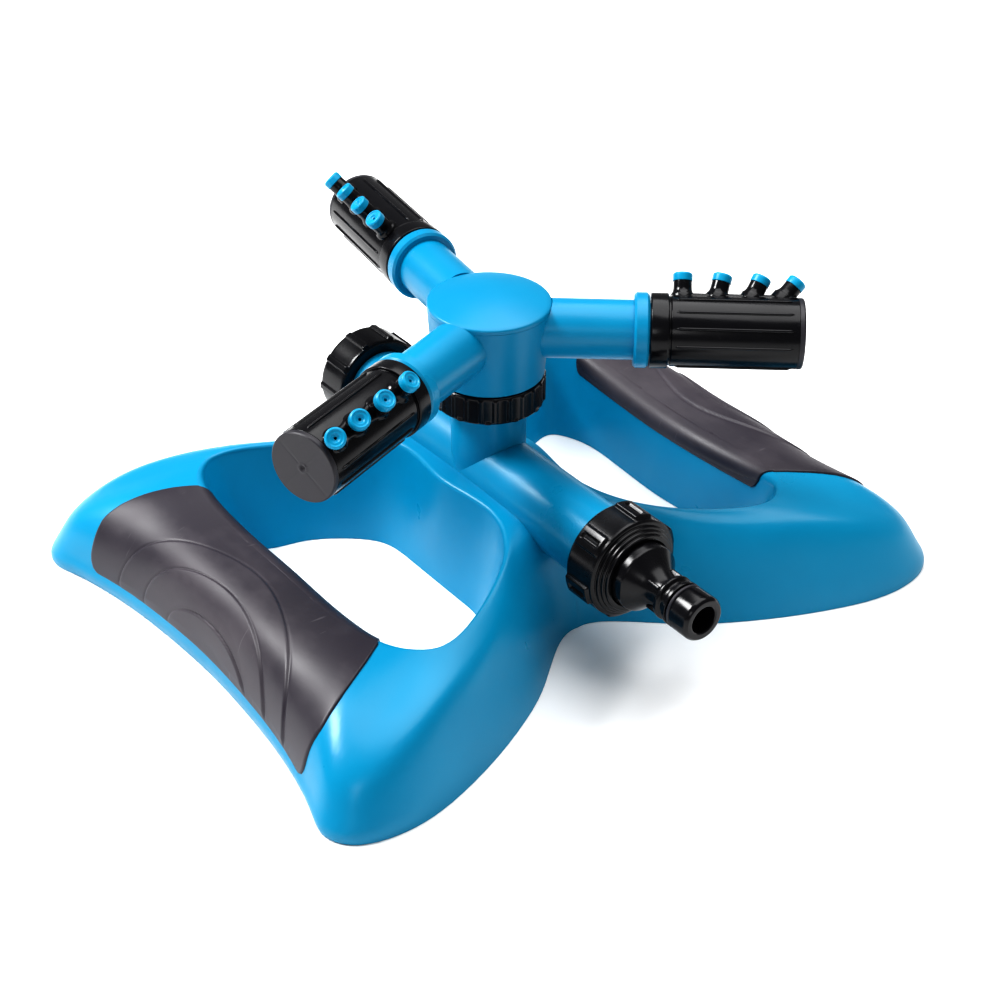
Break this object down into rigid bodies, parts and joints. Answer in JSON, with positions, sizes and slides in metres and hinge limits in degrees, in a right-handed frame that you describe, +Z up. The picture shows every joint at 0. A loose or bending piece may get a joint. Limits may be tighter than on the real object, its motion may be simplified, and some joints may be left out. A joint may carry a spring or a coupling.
{
  "type": "rotary lawn sprinkler",
  "caption": "Rotary lawn sprinkler: hollow moulded base with rubber-gripped handles, a tee pipe with hose inlet, and a spinning hub whose arms carry adjustable nozzle heads.",
  "frame": {"origin": "on the ground, under the rotor's axis", "axes": "+Z up along the rotor's axis, -Y towards the hose inlet, X across the two handles"},
  "size_m": [0.2606, 0.2239, 0.1138],
  "materials": {
    "blue_shell": "semi-gloss moulded",
    "blue_pipe": "semi-gloss moulded",
    "blue_rotor": "semi-gloss moulded",
    "blue_tip": "semi-gloss moulded",
    "grip_rubber": "satin, fine grain",
    "black_nut": "gloss moulded",
    "black_adapter": "gloss moulded",
    "black_head": "gloss moulded",
    "black_plug": "matte moulded",
    "seal_rubber": "matte",
    "strainer": "matte moulded",
    "screw_steel": "zinc plated",
    "slide_plastic": "smooth natural acetal"
  },
  "bodies": {
    "base": {"base_shell": "blue_shell", "left_grip": "grip_rubber", "right_grip": "grip_rubber", "tee_pipe": "blue_pipe", "base_screws": "screw_steel", "inlet_gasket": "seal_rubber", "inlet_filter": "strainer", "hose_adapter": "black_adapter", "adapter_o_ring": "seal_rubber", "end_cap_gasket": "seal_rubber", "thrust_washer": "slide_plastic"},
    "rotor": {"rotor_manifold": "blue_rotor", "rotor_dome": "blue_rotor", "spindle": "slide_plastic", "spindle_seal": "seal_rubber", "head_o_ring_1": "seal_rubber", "head_o_ring_2": "seal_rubber", "head_o_ring_3": "seal_rubber"},
    "head_1": {"nozzle_head_1": "black_head", "head_end_plug_1": "black_plug", "nozzle_tips_1": "blue_tip"},
    "head_2": {"nozzle_head_2": "black_head", "head_end_plug_2": "black_plug", "nozzle_tips_2": "blue_tip"},
    "head_3": {"nozzle_head_3": "black_head", "head_end_plug_3": "black_plug", "nozzle_tips_3": "blue_tip"},
    "inlet_nut": {"inlet_nut": "black_nut"},
    "end_cap": {"end_cap": "black_nut"},
    "ring_nut": {"ring_nut": "black_nut"}
  },
  "joints": [
    {"name": "rotor_spin", "type": "hinge", "parent": "base", "child": "rotor", "pos_m": [0, 0, 0.0965], "axis": [0, 0, 1], "continuous": true},
    {"name": "head_1_swivel", "type": "hinge", "parent": "rotor", "child": "head_1", "pos_m": [0.06226, -0.05024, 0.0965], "axis": [0.7782, -0.628, 0], "continuous": true},
    {"name": "head_2_swivel", "type": "hinge", "parent": "rotor", "child": "head_2", "pos_m": [0.01238, 0.07904, 0.0965], "axis": [0.1547, 0.988, 0], "continuous": true},
    {"name": "head_3_swivel", "type": "hinge", "parent": "rotor", "child": "head_3", "pos_m": [-0.07464, -0.0288, 0.0965], "axis": [-0.933, -0.36, 0], "continuous": true},
    {"name": "inlet_nut_turn", "type": "hinge", "parent": "base", "child": "inlet_nut", "pos_m": [0, -0.074, 0.0411], "axis": [0, -1, 0], "range_deg": [0, 970]},
    {"name": "end_cap_turn", "type": "hinge", "parent": "base", "child": "end_cap", "pos_m": [0, 0.075, 0.0411], "axis": [0, 1, 0], "range_deg": [0, 970]},
    {"name": "ring_nut_turn", "type": "hinge", "parent": "base", "child": "ring_nut", "pos_m": [0, 0, 0.0735], "axis": [0, 0, 1], "range_deg": [0, 970]}
  ]
}
